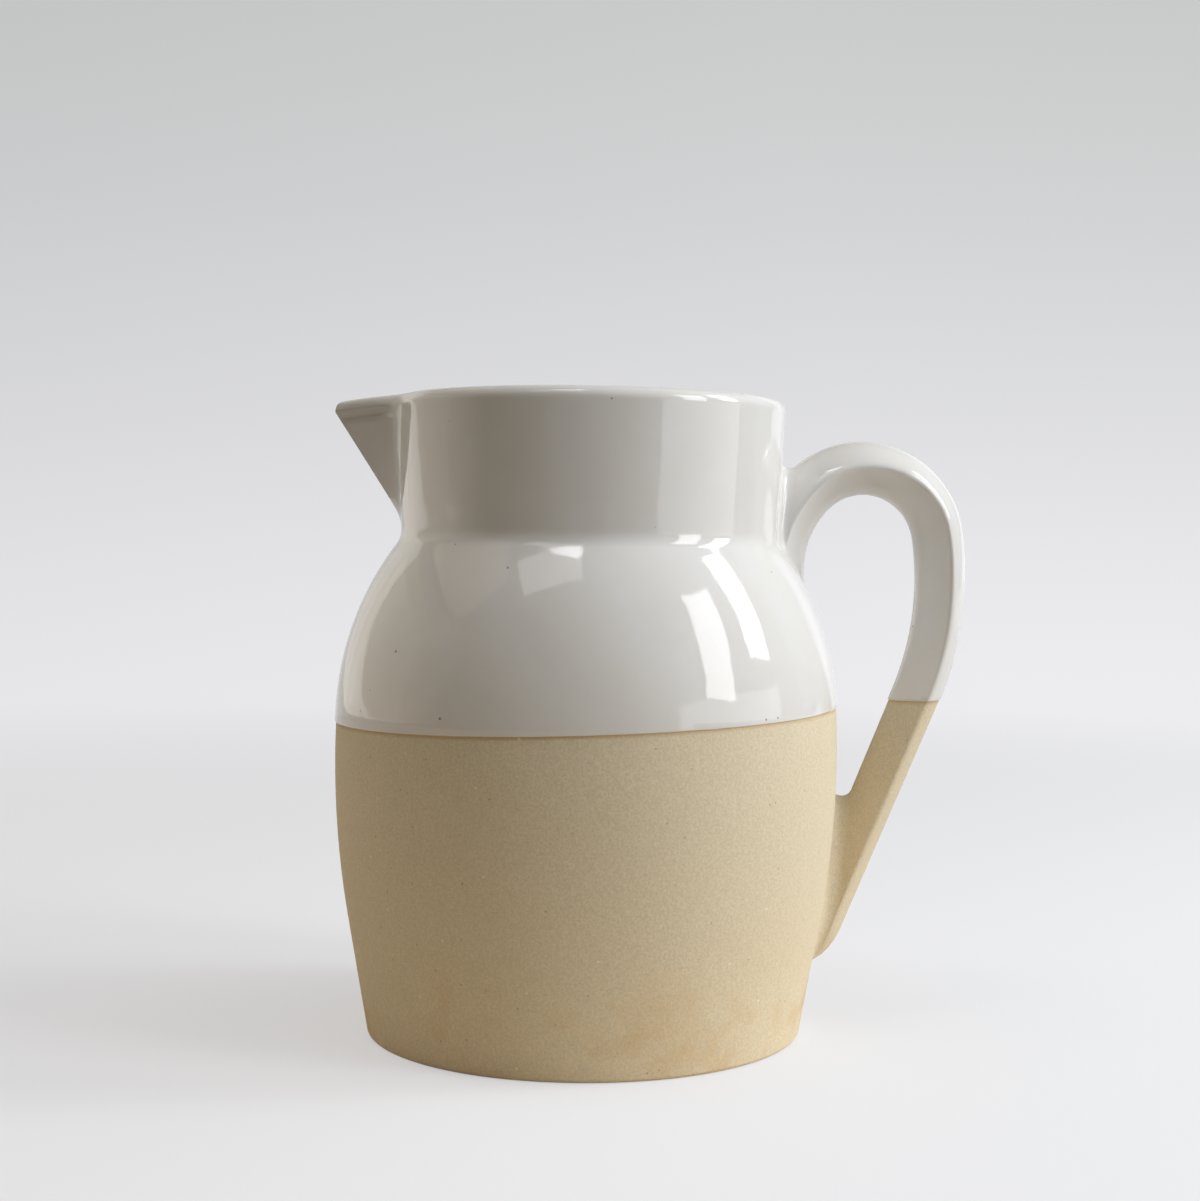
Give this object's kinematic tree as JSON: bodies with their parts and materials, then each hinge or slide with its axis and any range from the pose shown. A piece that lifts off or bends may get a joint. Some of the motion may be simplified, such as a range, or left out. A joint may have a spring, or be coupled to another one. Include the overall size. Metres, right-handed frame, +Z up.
{
  "type": "stoneware jug",
  "caption": "Round-bellied stoneware jug with a sparrow-beak spout and a pulled strap handle, white glaze above bare sandy clay, for holding and pouring liquid.",
  "frame": {"origin": "centre of the flat foot, on the surface the jug stands on", "axes": "+Z up along the jug's axis, +X towards the handle, -X towards the beak, so the plane y = 0 halves the jug"},
  "size_m": [0.1829, 0.143, 0.18],
  "materials": {
    "stoneware": "bare fired stoneware, matte, fine sandy grain",
    "slip": "fired joining slip, matte",
    "glaze": "off-white glossy stoneware glaze with fine brown specks"
  },
  "bodies": {
    "root": {"body": "stoneware", "spout": "stoneware", "handle": "stoneware", "spout_luting": "slip", "root_luting": "slip", "tail_luting": "slip", "body_glaze": "glaze", "liner_glaze": "glaze", "spout_glaze": "glaze", "handle_glaze": "glaze"}
  },
  "joints": []
}
